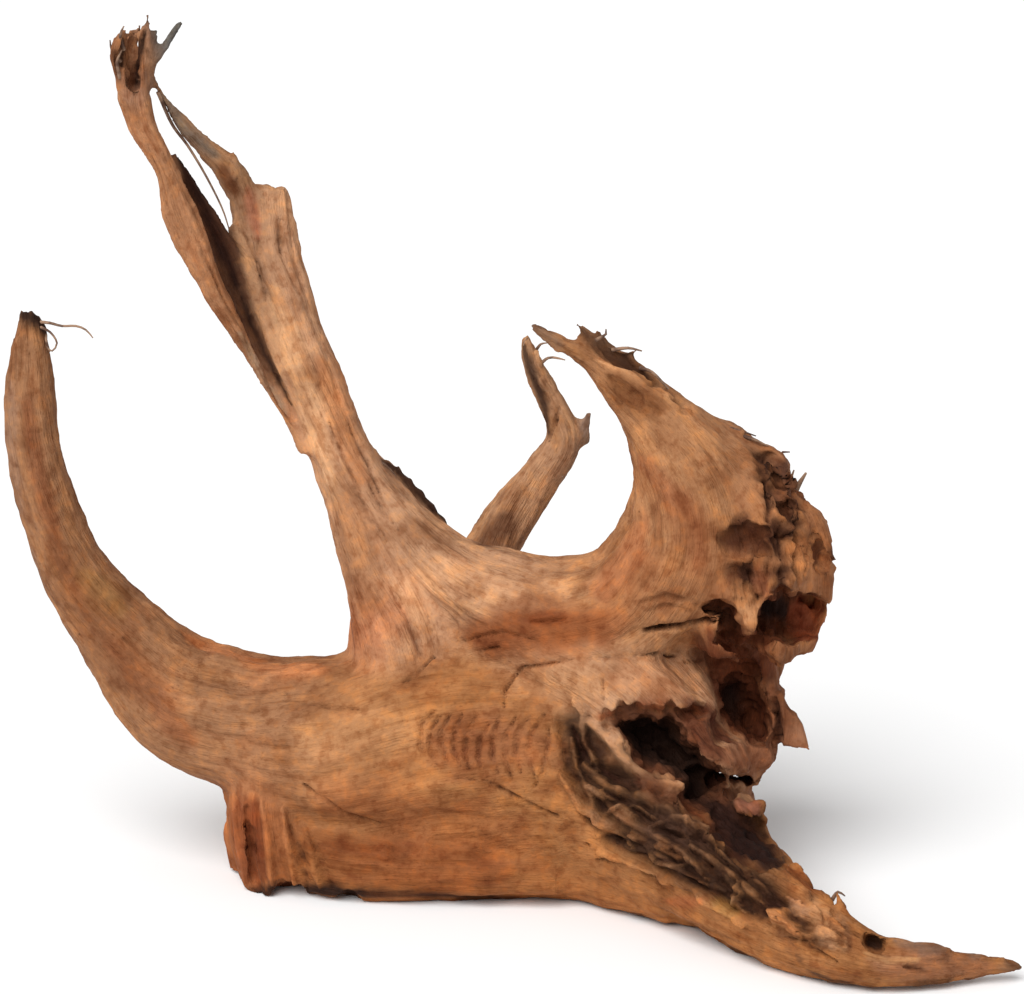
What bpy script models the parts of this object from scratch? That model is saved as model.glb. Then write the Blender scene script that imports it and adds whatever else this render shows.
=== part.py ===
"""Mangrove root: one piece of driftwood that grew as a whole, about 0.40 m wide and 0.36 m high.

Each limb is a bundle of tapered strands that follow the grain. The bundles are skinned into one
closed solid, the rotten heart is hollowed out, and the underside is cut flat so that it rests.
Stations are in millimetres: x runs to the right, y away from the viewer and z up.
"""
import math
import random

import bmesh
import bpy
import numpy as np
from mathutils import Euler, Matrix, Vector, noise

MM = 0.001
NAME = "mangrove_root"

# Middle of the finished piece's box in the stations' own coordinates
MIDDLE_X = -5.0
MIDDLE_Y = -33.0

# Skin, in millimetres, and the share of faces that the finished solid has
VOXEL = 1.8
SMOOTHING_STEPS = 4
TRIANGLES = 6800
POINT_SPACING = 7.0

# Wood colour, linear, and its roughness
WOOD_COLOUR = (0.29, 0.135, 0.058, 1.0)
WOOD_ROUGHNESS = 0.78

# Each limb: stations (x, y, z, half width, half depth), strands around it, turns along its length
LIMBS = {
    "horn": ([
        (-195, 2, 239, 3.8, 3.5),
        (-195, 2, 222, 8.2, 7.0),
        (-196, 2, 203, 10.8, 9.0),
        (-195, 3, 179, 12.4, 10.5),
        (-192, 4, 160, 13.4, 12.0),
        (-187, 6, 141, 14.2, 13.5),
        (-179, 8, 122, 16.0, 16.0),
        (-164, 10, 100, 19.0, 20.0),
        (-144, 10, 75, 26.5, 27.0),
        (-128, 9, 66, 29.5, 31.0),
        (-110, 8, 60, 29.5, 35.0),
        (-76, 4, 51, 40.0, 42.0),
        (-30, 0, 46, 38.0, 44.0),
    ], 9, 0.35),
    "mast": ([
        (-99, 31, 284, 8.5, 6.0),
        (-100, 30, 268, 12.0, 9.0),
        (-98, 28, 254, 12.5, 10.0),
        (-92, 26, 236, 12.5, 11.0),
        (-86, 24, 216, 12.8, 12.0),
        (-78, 22, 194, 13.2, 13.0),
        (-70, 20, 172, 14.0, 15.0),
        (-61, 18, 152, 17.5, 18.0),
        (-53, 14, 130, 20.5, 22.0),
        (-45, 10, 109, 25.5, 28.0),
        (-42, 6, 88, 34.0, 36.0),
        (-40, 2, 50, 40.0, 42.0),
    ], 8, 0.25),
    "flare": ([
        (-72, 20, 182, 6.0, 7.0),
        (-58, 18, 162, 9.5, 12.0),
        (-42, 12, 143, 12.0, 18.0),
        (-22, 6, 125, 17.5, 24.0),
        (4, 0, 112, 25.0, 32.0),
        (34, -8, 92, 31.0, 38.0),
        (58, -22, 68, 31.0, 38.0),
        (80, -44, 44, 24.0, 30.0),
    ], 8, 0.15),
    "crown": ([
        (7, -10, 234, 1.8, 2.0),
        (18, -8, 227, 3.6, 4.0),
        (31, -6, 219, 5.2, 6.0),
        (45, -5, 208, 10.5, 12.0),
        (60, -5, 193, 16.5, 20.0),
        (73, -6, 168, 26.0, 34.0),
        (70, -6, 141, 28.5, 40.0),
        (46, -4, 113, 28.0, 38.0),
        (12, 0, 107, 25.0, 36.0),
        (-18, 4, 109, 22.0, 30.0),
        (-44, 8, 118, 20.0, 24.0),
    ], 9, 0.2),
    "crest": ([
        (26, 0, 231, 1.8, 2.0),
        (37, 0, 223, 3.4, 4.5),
        (49, 0, 212, 6.0, 8.0),
        (63, 0, 197, 7.5, 12.0),
        (81, -2, 183, 11.5, 17.0),
        (98, -4, 162, 18.0, 26.0),
    ], 6, 0.1),
    "shoulder": ([
        (78, -4, 182, 11.0, 16.0),
        (91, -5, 165, 25.0, 30.0),
        (97, -6, 144, 34.0, 40.0),
        (98, -6, 122, 34.0, 42.0),
        (97, -6, 102, 28.5, 38.0),
    ], 8, 0.05),
    "wall": ([
        (90, 8, 122, 24.0, 28.0),
        (90, 8, 92, 25.0, 28.0),
        (90, 4, 66, 25.0, 30.0),
        (82, -6, 44, 26.0, 34.0),
        (78, -20, 24, 24.0, 34.0),
    ], 8, 0.05),
    "trunk": ([
        (-94, 2, 44, 30.0, 32.0),
        (-70, 2, 46, 44.0, 43.0),
        (-30, 0, 50, 50.0, 48.0),
        (10, -6, 48, 50.0, 50.0),
        (46, -22, 38, 42.0, 46.0),
        (72, -52, 28, 32.0, 36.0),
        (92, -84, 20, 24.0, 25.0),
        (107, -106, 16, 18.5, 17.5),
        (124, -120, 13, 15.0, 14.0),
        (141, -129, 10, 11.0, 10.5),
        (160, -128, 8, 8.8, 8.0),
        (180, -125, 7, 6.0, 5.2),
        (198, -122, 6, 2.4, 2.4),
    ], 10, 0.2),
    "sole": ([
        (-96, -2, 16, 20.0, 32.0),
        (-70, -4, 12, 20.0, 44.0),
        (-30, -4, 12, 20.0, 48.0),
        (10, -6, 12, 20.0, 48.0),
        (40, -14, 12, 20.0, 42.0),
        (62, -36, 12, 18.0, 35.0),
        (80, -62, 12, 15.0, 26.0),
    ], 14, 0.0),
    "heel": ([
        (-98, 2, 60, 17.0, 24.0),
        (-100, 0, 36, 21.0, 32.0),
        (-98, -2, 14, 21.5, 36.0),
        (-94, -4, -8, 20.0, 36.0),
    ], 12, 0.03),
    "back_root": ([
        (6, 72, 213, 2.2, 2.2),
        (9, 70, 199, 4.6, 4.2),
        (17, 68, 184, 6.4, 6.0),
        (22, 65, 168, 9.0, 8.5),
        (11, 61, 152, 10.5, 10.0),
        (-2, 55, 134, 12.0, 12.0),
        (-14, 46, 114, 13.5, 15.0),
        (-24, 32, 92, 17.0, 18.0),
        (-30, 18, 62, 24.0, 26.0),
    ], 6, 0.3),
    "back_stub": ([
        (34, 68, 181, 2.0, 2.0),
        (29, 67, 169, 4.6, 4.6),
        (18, 64, 156, 6.5, 6.5),
    ], 4, 0.0),
    "blade": ([
        (-144, -2, 357, 3.0, 3.0),
        (-148, -2, 349, 7.0, 6.5),
        (-150, -2, 338, 8.8, 8.0),
        (-150, -2, 326, 8.0, 7.0),
        (-147, -2, 314, 6.5, 5.5),
        (-141, -1, 302, 5.4, 4.8),
        (-137, 0, 292, 5.8, 4.6),
        (-134, 1, 280, 7.6, 4.6),
        (-129, 3, 266, 7.6, 4.6),
        (-124, 5, 253, 6.6, 4.6),
        (-119, 7, 241, 5.0, 4.4),
        (-112, 10, 228, 4.2, 4.4),
        (-105, 14, 214, 4.0, 4.4),
        (-98, 17, 201, 4.0, 4.6),
        (-91, 19, 188, 4.0, 5.0),
        (-84, 20, 174, 4.0, 6.0),
    ], 6, 0.0),
    "split_face": ([
        (-136, 6, 302, 2.0, 2.0),
        (-130, 9, 288, 4.2, 2.4),
        (-124, 12, 275, 5.4, 2.6),
        (-117, 15, 260, 6.8, 3.0),
        (-112, 17, 246, 7.5, 3.2),
        (-107, 19, 234, 7.0, 3.2),
        (-102, 21, 221, 6.0, 3.2),
        (-96, 22, 208, 4.5, 4.0),
    ], 5, 0.0),
    "fin": ([
        (-142, 3, 333, 1.6, 1.6),
        (-136, 9, 318, 2.0, 2.0),
        (-127, 14, 305, 4.4, 2.4),
        (-117, 20, 293, 7.0, 2.8),
        (-110, 24, 280, 8.0, 4.0),
        (-107, 27, 265, 7.5, 6.0),
        (-103, 27, 248, 6.0, 7.0),
    ], 5, 0.0),
    "twig": ([
        (-144, 0, 330, 2.0, 2.0),
        (-142, 1, 336, 1.9, 1.9),
        (-137, 2, 344, 2.2, 2.2),
        (-130, 4, 354, 2.4, 2.4),
    ], 0, 0.0),
    "flake": ([
        (106, -14, 82, 5.0, 6.0),
        (115, -17, 69, 8.5, 4.5),
        (122, -20, 59, 5.5, 3.5),
    ], 5, 0.0),
}

# Each hollow of the rotten heart: centre, half sizes along x, y and z, and lean about y in degrees
HOLLOWS = [
    ((54, -60, 76), (20, 32, 13), 12),
    ((76, -66, 56), (11, 32, 12), 0),
    ((93, -36, 80), (14, 26, 17), 0),
    ((87, -46, 112), (9, 24, 15), 0),
    ((113, -38, 110), (15, 28, 11), -14),
]


def clear_scene():
    """Removes what the file holds, so that only the root is in it."""
    for old in list(bpy.data.objects):
        bpy.data.objects.remove(old, do_unlink=True)


def new_collection(name):
    """Returns an empty collection linked to the scene."""
    collection = bpy.data.collections.new(name)
    bpy.context.scene.collection.children.link(collection)
    return collection


def wood_material():
    """Bare sun-dried wood: orange-brown and matt."""
    material = bpy.data.materials.new("bare_wood")
    material.use_nodes = True
    shader = material.node_tree.nodes["Principled BSDF"]
    shader.inputs["Base Color"].default_value = WOOD_COLOUR
    shader.inputs["Roughness"].default_value = WOOD_ROUGHNESS
    shader.inputs["Metallic"].default_value = 0.0
    material.diffuse_color = WOOD_COLOUR
    return material


def smooth_route(stations):
    """Reads a smooth curve through the stations, with a point about every POINT_SPACING."""
    known = np.array(stations, dtype=float)
    padded = np.vstack([2 * known[0] - known[1], known, 2 * known[-1] - known[-2]])
    points = []
    for before, start, end, after in zip(padded, padded[1:], padded[2:], padded[3:]):
        length = np.linalg.norm(end[:3] - start[:3])
        steps = max(1, round(length / POINT_SPACING))
        for step in range(steps):
            t = step / steps
            points.append(0.5 * (
                2 * start
                + (end - before) * t
                + (2 * before - 5 * start + 4 * end - after) * t ** 2
                + (3 * start - before - 3 * end + after) * t ** 3
            ))
    points.append(known[-1])
    return np.array(points)


def strands_of(stations, count, turns, seed):
    """Yields each strand of a limb as its points and radii: a core, and a ring around it."""
    chance = random.Random(seed)
    route = smooth_route(stations)
    centre, half_width, half_depth = route[:, :3], route[:, 3], route[:, 4]
    along = np.gradient(centre, axis=0)
    along /= np.linalg.norm(along, axis=1)[:, None]
    side = np.cross(along, (0.0, 1.0, 0.0))
    side /= np.linalg.norm(side, axis=1)[:, None]
    inward = np.cross(side, along)
    thin = np.minimum(half_width, half_depth)
    share = np.linspace(0.0, 1.0, len(route))

    core = 0.8 * thin if count else thin
    reach_side = np.maximum(half_width - thin, 0.0)[:, None] * side
    reach_deep = np.maximum(half_depth - thin, 0.0)[:, None] * inward
    for offset in (-0.8, 0.0, 0.8):
        yield centre + offset * (reach_side + reach_deep), core

    for number in range(count):
        start = 2 * math.pi * (number + 0.3 * chance.random()) / count
        wave = 0.16 * np.sin(2 * math.pi * (1.3 * share + chance.random()))
        angle = start + 2 * math.pi * turns * share + wave
        swell = 1.0 + 0.14 * np.sin(2 * math.pi * (1.7 * share + chance.random()))
        radius = 0.43 * thin * swell * (0.9 + 0.2 * chance.random())
        out_side = (np.cos(angle) * (half_width - radius))[:, None] * side
        out_deep = (np.sin(angle) * (half_depth - radius))[:, None] * inward
        yield centre + out_side + out_deep, radius


def limb_mesh(name, stations, count, turns):
    """Draws a limb's strands as one curve object and returns its closed tubes as a mesh."""
    curve = bpy.data.curves.new(name, "CURVE")
    curve.dimensions = "3D"
    curve.bevel_depth = MM
    curve.bevel_resolution = 3
    curve.use_fill_caps = True
    for points, radii in strands_of(stations, count, turns, seed=name):
        spline = curve.splines.new("POLY")
        spline.points.add(len(points) - 1)
        for knot, point, radius in zip(spline.points, points, radii):
            knot.co = (*(point * MM), 1.0)
            knot.radius = max(radius, 0.6)
    drawn = bpy.data.objects.new(name, curve)
    bpy.context.scene.collection.objects.link(drawn)
    evaluated = drawn.evaluated_get(bpy.context.evaluated_depsgraph_get())
    mesh = bpy.data.meshes.new_from_object(evaluated)
    bpy.data.objects.remove(drawn)
    bpy.data.curves.remove(curve)
    return mesh


def bundled_limbs(collection):
    """Joins the tubes of every limb in one object."""
    joined = bmesh.new()
    for name, (stations, count, turns) in LIMBS.items():
        mesh = limb_mesh(name, stations, count, turns)
        joined.from_mesh(mesh)
        bpy.data.meshes.remove(mesh)
    bmesh.ops.remove_doubles(joined, verts=joined.verts, dist=0.01 * MM)
    mesh = bpy.data.meshes.new(NAME)
    joined.to_mesh(mesh)
    joined.free()
    root = bpy.data.objects.new(NAME, mesh)
    collection.objects.link(root)
    return root


def apply_modifiers(target):
    """Turns what the modifiers show into the object's own mesh."""
    evaluated = target.evaluated_get(bpy.context.evaluated_depsgraph_get())
    finished = bpy.data.meshes.new_from_object(evaluated)
    old = target.data
    target.modifiers.clear()
    target.data = finished
    bpy.data.meshes.remove(old)
    finished.name = NAME


def skin(target, voxel, steps):
    """Grows one closed skin over everything in the object and evens it out."""
    remesh = target.modifiers.new("skin", "REMESH")
    remesh.mode = "VOXEL"
    remesh.voxel_size = voxel * MM
    smooth = target.modifiers.new("even_out", "SMOOTH")
    smooth.factor = 0.5
    smooth.iterations = steps
    apply_modifiers(target)


def keep_largest_shell(target):
    """Deletes sealed pockets and loose crumbs, which are shells of their own."""
    shell = bmesh.new()
    shell.from_mesh(target.data)
    unseen = set(shell.verts)
    groups = []
    while unseen:
        group = {unseen.pop()}
        edge_of_group = list(group)
        while edge_of_group:
            vertex = edge_of_group.pop()
            for edge in vertex.link_edges:
                other = edge.other_vert(vertex)
                if other in unseen:
                    unseen.discard(other)
                    group.add(other)
                    edge_of_group.append(other)
        groups.append(group)
    largest = max(groups, key=len)
    crumbs = [vertex for group in groups if group is not largest for vertex in group]
    bmesh.ops.delete(shell, geom=crumbs, context="VERTS")
    shell.to_mesh(target.data)
    shell.free()


def boolean_cut(target, cutter):
    """Takes the cutter's volume away from the object."""
    cut = target.modifiers.new("cut", "BOOLEAN")
    cut.operation = "DIFFERENCE"
    cut.solver = "EXACT"
    cut.object = cutter
    apply_modifiers(target)


def hollow_cutter(number, centre, half_sizes, lean, cutters):
    """A lumpy ball, stretched to a hollow's size."""
    shape = bmesh.new()
    bmesh.ops.create_icosphere(shape, subdivisions=4, radius=1.0)
    for vertex in shape.verts:
        lump = noise.noise(vertex.co * 1.8 + Vector((number * 7.0, 0.0, 0.0)))
        vertex.co *= 1.0 + 0.28 * lump
    mesh = bpy.data.meshes.new("hollow_%d" % number)
    shape.to_mesh(mesh)
    shape.free()
    cutter = bpy.data.objects.new("hollow_%d" % number, mesh)
    turn = Euler((0.0, math.radians(lean), 0.0)).to_matrix().to_4x4()
    size = Matrix.Diagonal((*half_sizes, 1.0))
    cutter.matrix_world = Matrix.Scale(MM, 4) @ Matrix.Translation(centre) @ turn @ size
    cutters.objects.link(cutter)
    return cutter


def ground_cutter(cutters):
    """A slab whose top is the ground, for the flat underside."""
    bpy.ops.mesh.primitive_cube_add(size=1.0, location=(0.0, 0.0, -0.05))
    slab = bpy.context.object
    slab.name = "ground_cutter"
    slab.scale = (1.0, 1.0, 0.1)
    for holder in list(slab.users_collection):
        holder.objects.unlink(slab)
    cutters.objects.link(slab)
    bpy.context.view_layer.update()
    return slab


def hide_cutters(cutters):
    """Shows the cutters as wires and leaves them out of renders."""
    for cutter in cutters.objects:
        cutter.display_type = "WIRE"
        cutter.hide_render = True


def thin_out(target, triangles):
    """Collapses faces until about the given number of triangles is left."""
    target.data.calc_loop_triangles()
    decimate = target.modifiers.new("thin_out", "DECIMATE")
    decimate.ratio = triangles / len(target.data.loop_triangles)
    decimate.use_collapse_triangulate = True
    apply_modifiers(target)


def build():
    """Models the root and returns it."""
    clear_scene()
    pieces = new_collection(NAME)
    cutters = new_collection("cutters")
    root = bundled_limbs(pieces)
    skin(root, VOXEL, SMOOTHING_STEPS)
    keep_largest_shell(root)
    for number, (centre, half_sizes, lean) in enumerate(HOLLOWS):
        boolean_cut(root, hollow_cutter(number, centre, half_sizes, lean, cutters))
    skin(root, VOXEL, 2)
    keep_largest_shell(root)
    thin_out(root, TRIANGLES)
    boolean_cut(root, ground_cutter(cutters))
    root.data.transform(Matrix.Translation((-MIDDLE_X * MM, -MIDDLE_Y * MM, 0.0)))
    root.data.materials.clear()
    root.data.materials.append(wood_material())
    hide_cutters(cutters)
    return root


build()
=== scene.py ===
"""Looks of the mangrove root: one piece of bare, weathered driftwood about 0.40 m long.

The root is modelled in millimetres, in the same coordinates as the limbs' stations, and is put in
the frame at the end. Marks that only the photograph places are given as its pixels (1024 x 994).
"""

import itertools
import math
import random

import bmesh
import bpy
import numpy as np
from mathutils import Matrix, Vector
from mathutils.bvhtree import BVHTree


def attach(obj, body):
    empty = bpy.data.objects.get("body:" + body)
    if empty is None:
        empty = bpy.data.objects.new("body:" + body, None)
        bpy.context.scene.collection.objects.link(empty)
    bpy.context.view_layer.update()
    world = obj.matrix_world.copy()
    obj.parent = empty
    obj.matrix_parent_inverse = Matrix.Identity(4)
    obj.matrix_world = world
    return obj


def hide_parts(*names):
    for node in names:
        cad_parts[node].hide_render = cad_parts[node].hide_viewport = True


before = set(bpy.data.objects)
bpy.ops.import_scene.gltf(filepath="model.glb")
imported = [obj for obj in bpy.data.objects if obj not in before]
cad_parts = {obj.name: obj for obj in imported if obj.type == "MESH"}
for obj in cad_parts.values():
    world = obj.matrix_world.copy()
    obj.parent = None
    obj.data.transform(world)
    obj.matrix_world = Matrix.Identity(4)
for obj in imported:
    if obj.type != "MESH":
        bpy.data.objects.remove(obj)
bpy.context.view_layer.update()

# Camera. The photograph was taken from a little above, at which the straight lower edge of the
# trunk and the underside of the tail lie on one floor.
MM = 0.001
PHOTO_WIDTH = 1024
PHOTO_HEIGHT = 994
SENSOR_WIDTH = 36.0
FOCAL_PIXELS = 3300.0
CAMERA_DISTANCE = 1350.0
CAMERA_ELEVATION = math.radians(15.0)
AIM = np.array((0.0, 0.0, 160.0))
# Middle of the piece's box in the stations' coordinates, which the frame has at its origin
MIDDLE = np.array((-5.0, -33.0, 0.0))

towards_camera = np.array((0.0, -math.cos(CAMERA_ELEVATION), math.sin(CAMERA_ELEVATION)))
eye = AIM + CAMERA_DISTANCE * towards_camera
picture_up = np.array((0.0, math.sin(CAMERA_ELEVATION), math.cos(CAMERA_ELEVATION)))


def add_object(name, data):
    """A new object in the scene."""
    added = bpy.data.objects.new(name, data)
    bpy.context.scene.collection.objects.link(added)
    return added


camera_data = bpy.data.cameras.new("camera")
camera_data.sensor_width = SENSOR_WIDTH
camera_data.lens = FOCAL_PIXELS * SENSOR_WIDTH / PHOTO_WIDTH
camera = add_object("camera", camera_data)
camera.location = (eye - MIDDLE) * MM
camera.rotation_euler = (math.pi / 2 - CAMERA_ELEVATION, 0.0, 0.0)
bpy.context.scene.camera = camera

# Limbs. The root grew as one piece of wood. Each limb is a bundle of strands that taper with it
# and turn a little round it, as the grain does: strands, turns and stations. A station is its
# middle's x, y, z, its half width and its half depth.
LIMBS = {
    "horn": (9, 0.35, """
        -195,2,239,3.8,3.5 -195,2,222,8.2,7 -196,2,203,10.8,9 -195,3,179,12.4,10.5 -192,4,160,13.4,12
        -187,6,141,14.2,13.5 -179,8,122,16,16 -164,10,100,19,20 -144,10,75,26.5,27 -128,9,66,29.5,31
        -110,8,60,29.5,35 -76,4,51,40,42 -30,0,46,38,44"""),
    "mast": (8, 0.25, """
        -99,31,284,8.5,6 -100,30,268,12,9 -98,28,254,12.5,10 -92,26,236,12.5,11 -86,24,216,12.8,12
        -78,22,194,13.2,13 -70,20,172,14,15 -61,18,152,17.5,18 -53,14,130,20.5,22 -45,10,109,25,27
        -42,8,88,27,28 -40,6,60,22,24"""),
    "flare": (8, 0.15, """
        -72,20,182,6,7 -58,18,162,9.5,12 -42,12,143,12,18 -22,6,125,17.5,24 4,0,112,25,32 34,-8,92,31,38
        58,-22,68,31,38 80,-44,44,24,30"""),
    "crown": (9, 0.2, """
        7,-10,234,1.8,2 18,-8,227,3.6,4 31,-6,219,5.2,6 45,-5,208,10.5,12 60,-5,193,16.5,20
        73,-6,168,26,34 70,-6,141,28.5,40 46,-4,113,28,38 12,0,107,25,36 -16,8,100,18,24 -36,14,92,12,14"""),
    "crest": (6, 0.1, """
        26,0,231,1.8,2 37,0,223,3.4,4.5 49,0,212,6,8 63,0,197,7.5,12 81,-2,183,11.5,17 98,-4,162,18,26"""),
    "shoulder": (8, 0.05, """
        78,-4,182,11,16 91,-5,165,25,30 97,-6,144,34,40 98,-6,122,34,42 97,-6,102,28.5,38"""),
    "wall": (8, 0.05, """
        90,8,122,24,28 90,8,92,25,28 90,4,66,25,30 82,-6,44,26,34 78,-20,24,24,34"""),
    "trunk": (10, 0.2, """
        -94,2,44,30,32 -70,2,46,44,43 -30,0,50,50,48 10,-6,48,50,50 46,-22,38,42,46 72,-52,28,32,36
        92,-84,20,24,25 107,-106,16,18.5,17.5 124,-120,13,15,14 141,-129,10,11,10.5 160,-128,8,8.8,8
        180,-125,6.5,5.2,4.2 198,-122,5,1.6,1.4"""),
    "sole": (14, 0, """
        -96,-2,16,20,32 -70,-4,12,20,44 -30,-4,12,20,48 10,-6,12,20,48 40,-14,12,20,42 62,-36,12,18,35
        80,-62,12,15,26"""),
    "heel": (12, 0.03, """
        -98,2,60,17,24 -100,0,36,21,32 -98,-2,14,21.5,36 -94,-4,-8,20,36"""),
    "back_root": (6, 0.3, """
        6,72,213,2.2,2.2 9,70,199,4.6,4.2 17,68,184,6.4,6 22,65,168,9,8.5 11,61,152,10.5,10
        -2,55,134,12,12 -14,46,114,13.5,15 -24,32,92,17,18 -30,18,62,24,26"""),
    "back_stub": (4, 0, """
        34,68,181,2,2 29,67,169,4.6,4.6 18,64,156,6.5,6.5"""),
    "blade": (6, 0, """
        -148,-2,343,5,4.5 -149,-2,334,7.4,6.5 -149,-2,324,7.4,6.5 -147,-2,314,6.5,5.5 -141,-1,302,5.4,4.8
        -137,0,292,5.8,4.6 -134,1,280,7.6,4.6 -129,3,266,7.6,4.6 -124,5,253,6.6,4.6 -119,7,241,5,4.4
        -112,10,228,3.8,4.2 -106,13,214,2.8,3.4 -100,15,201,2.2,3 -93,17,188,2.2,3 -85,18,174,3,5"""),
    "split_face": (5, 0, """
        -136,6,302,2,2 -130,9,288,4.2,2.4 -124,12,275,5.4,2.6 -117,15,260,6.8,3 -112,17,246,7.5,3.2
        -107,19,234,7,3.2 -102,21,221,6,3.2 -96,22,208,4.5,4"""),
    "fin": (5, 0, """
        -144,1,335,2,2 -137,8,319,2.6,2.4 -127,14,305,5,2.6 -117,20,293,7.4,3 -110,24,280,8,4
        -107,27,265,7.5,6 -103,27,248,6,7"""),
    "twig": (0, 0, """
        -145,0,328,2,2 -142,1,336,1.9,1.9 -137,2,344,2.3,2.2 -130,4,354,2.6,2.4"""),
}
STRAND_SPACING = 7.0
# A core takes up most of a limb and its strands stand out on it: shares of the limb's girth
CORE_GIRTH = 0.8
STRAND_GIRTH = 0.43
# A flat limb is filled by three cores side by side, at these shares of the way to its edges.
CORE_OFFSETS = (-0.8, 0.0, 0.8)
# A strand wanders round its limb by an angle in radians, and swells by a share of its girth.
STRAND_WANDER = 0.16
STRAND_SWELL = 0.14
FORM_VOXEL = 1.5
FORM_EVENING = 5


def spots(text):
    """The tuples of numbers in a text such as "12,7 15,9"."""
    return [tuple(map(float, spot.split(","))) for spot in text.split()]


def smooth_route(stations, spacing):
    """Reads a smooth curve through the stations, with a point about every spacing."""
    known = np.array(stations)
    padded = np.vstack([2 * known[0] - known[1], known, 2 * known[-1] - known[-2]])
    points = []
    for before, start, end, after in zip(padded, padded[1:], padded[2:], padded[3:]):
        steps = max(1, round(np.linalg.norm(end[:3] - start[:3]) / spacing))
        for t in np.arange(steps) / steps:
            points.append(0.5 * (
                2 * start
                + (end - before) * t
                + (2 * before - 5 * start + 4 * end - after) * t ** 2
                + (3 * start - before - 3 * end + after) * t ** 3
            ))
    points.append(known[-1])
    return np.array(points)


def section_axes(centre):
    """Unit vectors along a route, across it in the picture plane, and across it in depth."""
    along = np.gradient(centre, axis=0)
    along /= np.linalg.norm(along, axis=1)[:, None]
    side = np.cross(along, (0.0, 1.0, 0.0))
    side /= np.linalg.norm(side, axis=1)[:, None]
    return along, side, np.cross(side, along)


def strands_of(stations, count, turns, seed):
    """Yields each strand of a limb as its points and radii: a core, and a ring around it."""
    chance = random.Random(seed)
    route = smooth_route(stations, STRAND_SPACING)
    centre, half_width, half_depth = route[:, :3], route[:, 3], route[:, 4]
    along, side, inward = section_axes(centre)
    thin = np.minimum(half_width, half_depth)
    share = np.linspace(0.0, 1.0, len(route))

    core = CORE_GIRTH * thin if count else thin
    reach_side = np.maximum(half_width - thin, 0.0)[:, None] * side
    reach_deep = np.maximum(half_depth - thin, 0.0)[:, None] * inward
    for offset in CORE_OFFSETS:
        yield centre + offset * (reach_side + reach_deep), core

    for number in range(count):
        start = 2 * math.pi * (number + 0.3 * chance.random()) / count
        wander = STRAND_WANDER * np.sin(2 * math.pi * (1.3 * share + chance.random()))
        angle = start + 2 * math.pi * turns * share + wander
        swell = 1.0 + STRAND_SWELL * np.sin(2 * math.pi * (1.7 * share + chance.random()))
        radius = STRAND_GIRTH * thin * swell * (0.9 + 0.2 * chance.random())
        out_side = (np.cos(angle) * (half_width - radius))[:, None] * side
        out_deep = (np.sin(angle) * (half_depth - radius))[:, None] * inward
        yield centre + out_side + out_deep, radius


LEAST_RADIUS = 0.2


def tubes(name, strands):
    """Draws strands as one curve object and returns their closed tubes as a mesh."""
    curve = bpy.data.curves.new(name, "CURVE")
    curve.dimensions = "3D"
    curve.bevel_depth = 1.0
    curve.bevel_resolution = 3
    curve.use_fill_caps = True
    for points, radii in strands:
        spline = curve.splines.new("POLY")
        spline.points.add(len(points) - 1)
        knots = np.column_stack((points, np.ones(len(points))))
        spline.points.foreach_set("co", knots.astype(np.float32).ravel())
        spline.points.foreach_set("radius", np.maximum(radii, LEAST_RADIUS).astype(np.float32))
    drawn = add_object(name, curve)
    mesh = bpy.data.meshes.new_from_object(drawn.evaluated_get(bpy.context.evaluated_depsgraph_get()))
    bpy.data.objects.remove(drawn)
    bpy.data.curves.remove(curve)
    return mesh


WELD_DISTANCE = 0.01


def add_solids(target, meshes):
    """Joins closed meshes to the target's mesh, the caps of tubes welded."""
    joined = bmesh.new()
    joined.from_mesh(target.data)
    for mesh in meshes:
        joined.from_mesh(mesh)
        bpy.data.meshes.remove(mesh)
    bmesh.ops.remove_doubles(joined, verts=joined.verts, dist=WELD_DISTANCE)
    joined.to_mesh(target.data)
    joined.free()


def add_smoothing(target, steps):
    """A modifier that evens a mesh out in a number of steps."""
    smooth = target.modifiers.new("even_out", "SMOOTH")
    smooth.factor = 0.5
    smooth.iterations = steps
    return smooth


def apply_modifiers(target):
    """Applies the target's modifiers, first to last."""
    bpy.ops.object.select_all(action="DESELECT")
    bpy.context.view_layer.objects.active = target
    target.select_set(True)
    for modifier in list(target.modifiers):
        bpy.ops.object.modifier_apply(modifier=modifier.name)


def skin(target, voxel, steps):
    """Grows one closed skin over everything in the object, and evens it out."""
    remesh = target.modifiers.new("skin", "REMESH")
    remesh.mode = "VOXEL"
    remesh.voxel_size = voxel
    if steps:
        add_smoothing(target, steps)
    apply_modifiers(target)


def keep_largest_shell(target):
    """Deletes sealed pockets and loose crumbs, which are shells of their own."""
    mesh = target.data
    edges = np.empty(len(mesh.edges) * 2, dtype=np.int32)
    mesh.edges.foreach_get("vertices", edges)
    edges = edges.reshape(-1, 2)
    group = np.arange(len(mesh.vertices))
    while True:
        lowest = np.minimum(group[edges[:, 0]], group[edges[:, 1]])
        before = group.copy()
        np.minimum.at(group, edges[:, 0], lowest)
        np.minimum.at(group, edges[:, 1], lowest)
        group = group[group]
        if (group == before).all():
            break
    names, sizes = np.unique(group, return_counts=True)
    crumbs = np.flatnonzero(group != names[sizes.argmax()])
    shell = bmesh.new()
    shell.from_mesh(mesh)
    shell.verts.ensure_lookup_table()
    bmesh.ops.delete(shell, geom=[shell.verts[i] for i in crumbs], context="VERTS")
    shell.to_mesh(mesh)
    shell.free()


root = add_object("root_wood", bpy.data.meshes.new("root_wood"))
add_solids(root, [
    tubes(name, strands_of(spots(stations), count, turns, name))
    for name, (count, turns, stations) in LIMBS.items()
])
skin(root, FORM_VOXEL, FORM_EVENING)
keep_largest_shell(root)


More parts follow.
